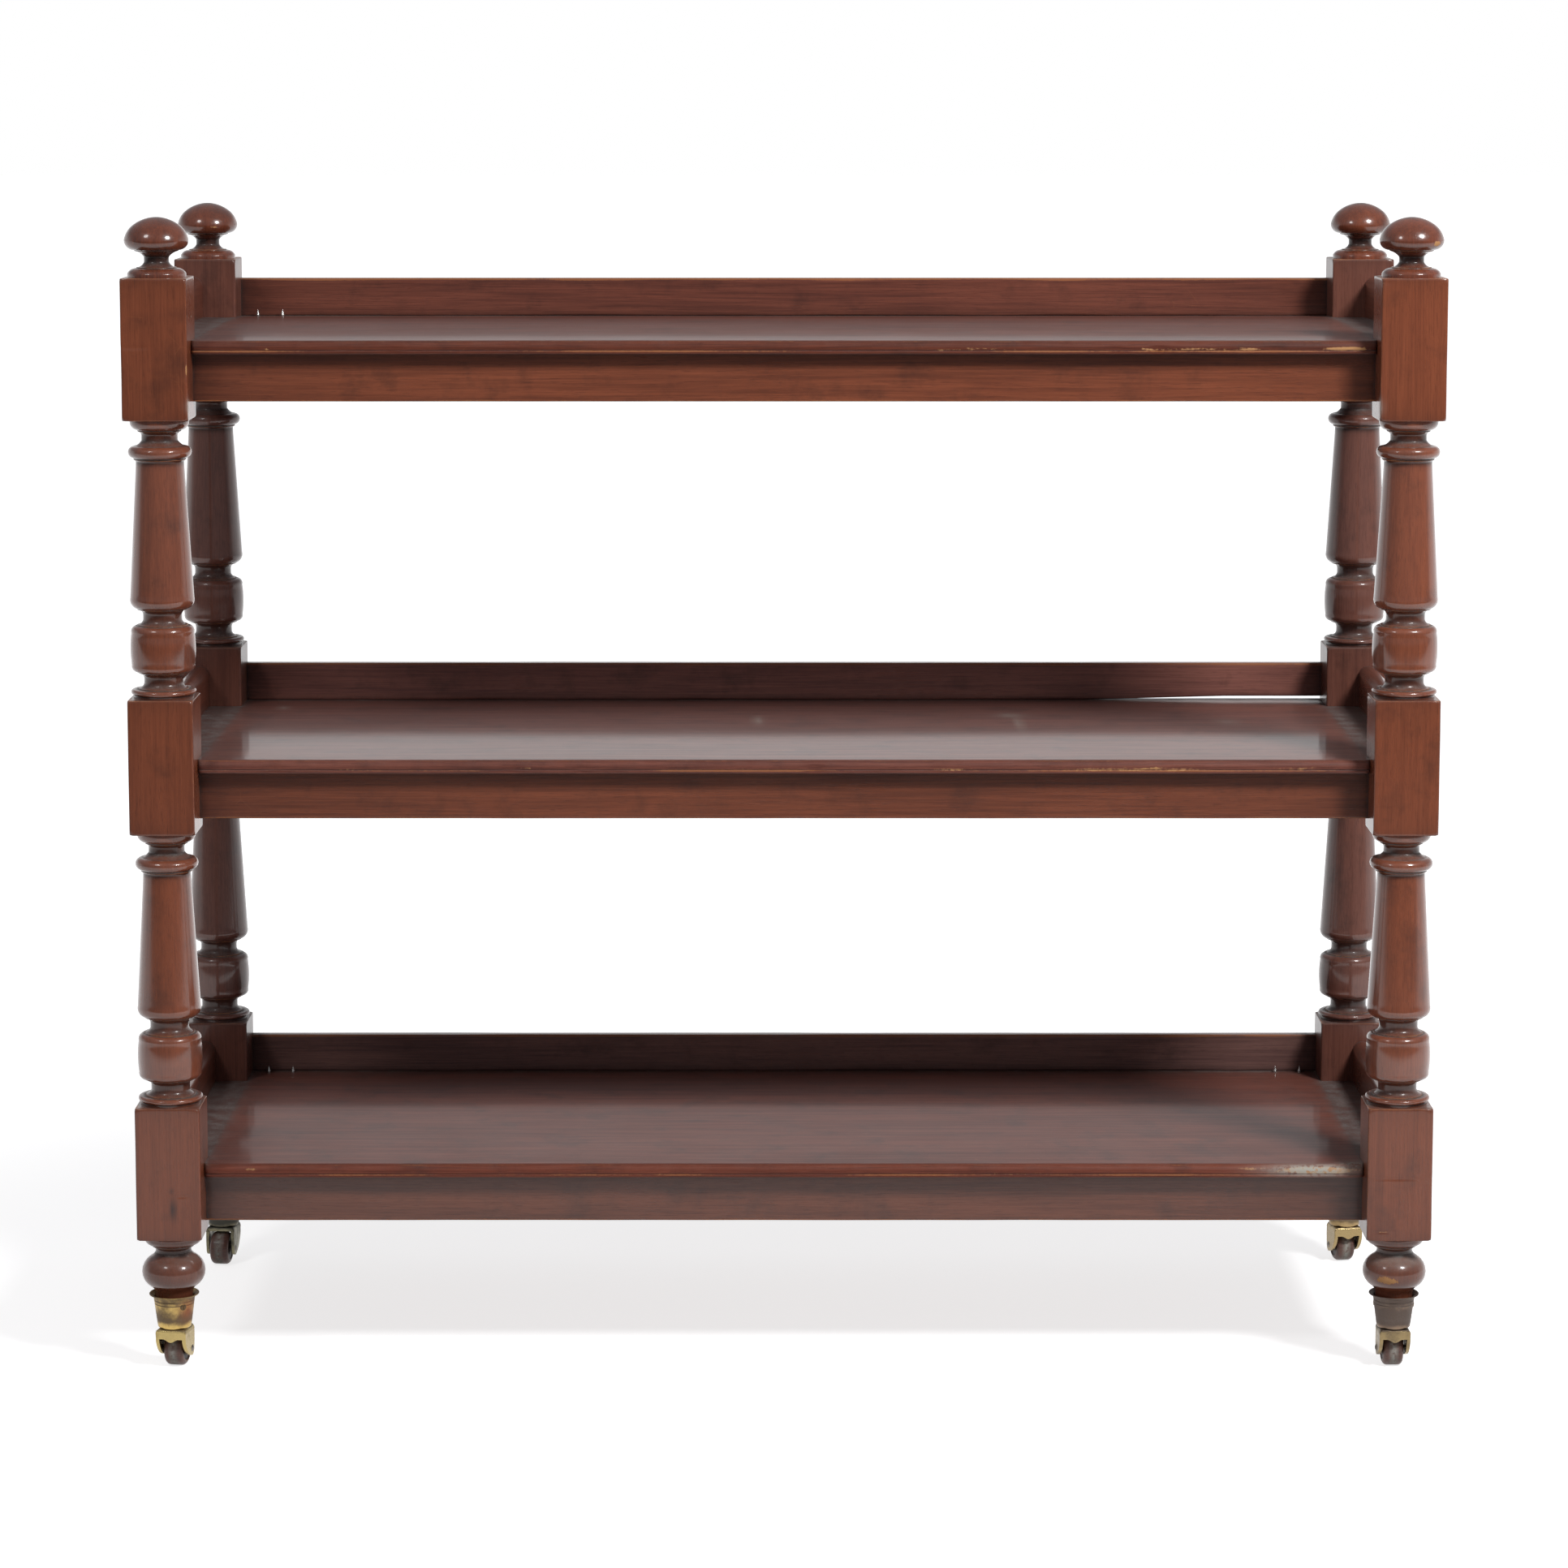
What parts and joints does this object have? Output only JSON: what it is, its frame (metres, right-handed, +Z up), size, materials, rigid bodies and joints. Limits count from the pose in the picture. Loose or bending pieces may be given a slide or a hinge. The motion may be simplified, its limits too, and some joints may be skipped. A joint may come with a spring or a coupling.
{
  "type": "three-tier etagere",
  "caption": "Open rectangular mahogany etagere with galleried shelves between turned corner posts, mushroom finials and brass castors.",
  "frame": {"origin": "on the floor under the middle of the piece", "axes": "+X to the right along the shelves, +Y to the back, +Z up"},
  "size_m": [1.22, 0.446, 1.0909],
  "materials": {
    "mahogany_posts": "french-polished mahogany, glossy, worn arrises, grain upright",
    "mahogany_shelves": "polished mahogany, dark, grain along the board",
    "mahogany_rails": "polished mahogany, grain along the rail",
    "mahogany_galleries": "polished mahogany, dark",
    "block_pine": "unpolished softwood, aged",
    "cleat_wood": "unpolished hardwood",
    "cup_brass": "tarnished cast brass with worn lacquer",
    "yoke_brass": "tarnished cast brass",
    "castor_wheel": "turned dark hardwood, worn smooth",
    "castor_iron": "dark riveted iron",
    "cup_screw_brass": "tarnished",
    "screw_iron": "dark old iron",
    "screw_steel": "bright steel points"
  },
  "bodies": {
    "frame": {"upright_front_left": "mahogany_posts", "finial_front_left": "mahogany_posts", "upright_front_right": "mahogany_posts", "finial_front_right": "mahogany_posts", "upright_back_left": "mahogany_posts", "finial_back_left": "mahogany_posts", "upright_back_right": "mahogany_posts", "finial_back_right": "mahogany_posts", "shelf_bottom": "mahogany_shelves", "front_apron_bottom": "mahogany_rails", "back_rail_bottom": "mahogany_rails", "back_gallery_bottom": "mahogany_galleries", "side_rail_bottom_left": "mahogany_rails", "side_gallery_bottom_left": "mahogany_galleries", "side_rail_bottom_right": "mahogany_rails", "side_gallery_bottom_right": "mahogany_galleries", "shelf_middle": "mahogany_shelves", "front_apron_middle": "mahogany_rails", "back_rail_middle": "mahogany_rails", "back_gallery_middle": "mahogany_galleries", "side_rail_middle_left": "mahogany_rails", "side_gallery_middle_left": "mahogany_galleries", "side_rail_middle_right": "mahogany_rails", "side_gallery_middle_right": "mahogany_galleries", "shelf_top": "mahogany_shelves", "front_apron_top": "mahogany_rails", "back_rail_top": "mahogany_rails", "back_gallery_top": "mahogany_galleries", "side_rail_top_left": "mahogany_rails", "side_gallery_top_left": "mahogany_galleries", "side_rail_top_right": "mahogany_rails", "side_gallery_top_right": "mahogany_galleries", "castor_cup_front_left": "cup_brass", "castor_cup_front_right": "cup_brass", "castor_cup_back_left": "cup_brass", "castor_cup_back_right": "cup_brass", "cup_screws": "cup_screw_brass", "shelf_screws": "screw_iron", "cleat_screws": "screw_steel", "glue_blocks": "block_pine", "cleats": "cleat_wood"},
    "castor_swivel_front_left": {"castor_yoke_front_left": "yoke_brass", "castor_axle_front_left": "castor_iron"},
    "castor_roll_front_left": {"castor_wheel_front_left": "castor_wheel"},
    "castor_swivel_front_right": {"castor_yoke_front_right": "yoke_brass", "castor_axle_front_right": "castor_iron"},
    "castor_roll_front_right": {"castor_wheel_front_right": "castor_wheel"},
    "castor_swivel_back_left": {"castor_yoke_back_left": "yoke_brass", "castor_axle_back_left": "castor_iron"},
    "castor_roll_back_left": {"castor_wheel_back_left": "castor_wheel"},
    "castor_swivel_back_right": {"castor_yoke_back_right": "yoke_brass", "castor_axle_back_right": "castor_iron"},
    "castor_roll_back_right": {"castor_wheel_back_right": "castor_wheel"}
  },
  "joints": [
    {"name": "swivel_front_left", "type": "hinge", "parent": "frame", "child": "castor_swivel_front_left", "pos_m": [-0.5795, -0.1925, 0.0392], "axis": [0, 0, 1], "continuous": true},
    {"name": "roll_front_left", "type": "hinge", "parent": "castor_swivel_front_left", "child": "castor_roll_front_left", "pos_m": [-0.57811, -0.18462, 0.0165], "axis": [0.9848, -0.1736, 0], "continuous": true},
    {"name": "swivel_front_right", "type": "hinge", "parent": "frame", "child": "castor_swivel_front_right", "pos_m": [0.5795, -0.1925, 0.0392], "axis": [0, 0, 1], "continuous": true},
    {"name": "roll_front_right", "type": "hinge", "parent": "castor_swivel_front_right", "child": "castor_roll_front_right", "pos_m": [0.57936, -0.1845, 0.0165], "axis": [0.9998, 0.0175, 0], "continuous": true},
    {"name": "swivel_back_left", "type": "hinge", "parent": "frame", "child": "castor_swivel_back_left", "pos_m": [-0.5795, 0.1925, 0.0392], "axis": [0, 0, 1], "continuous": true},
    {"name": "roll_back_left", "type": "hinge", "parent": "castor_swivel_back_left", "child": "castor_roll_back_left", "pos_m": [-0.58047, 0.18456, 0.0165], "axis": [-0.9925, 0.1219, 0], "continuous": true},
    {"name": "swivel_back_right", "type": "hinge", "parent": "frame", "child": "castor_swivel_back_right", "pos_m": [0.5795, 0.1925, 0.0392], "axis": [0, 0, 1], "continuous": true},
    {"name": "roll_back_right", "type": "hinge", "parent": "castor_swivel_back_right", "child": "castor_roll_back_right", "pos_m": [0.57811, 0.20038, 0.0165], "axis": [0.9848, 0.1736, 0], "continuous": true}
  ]
}
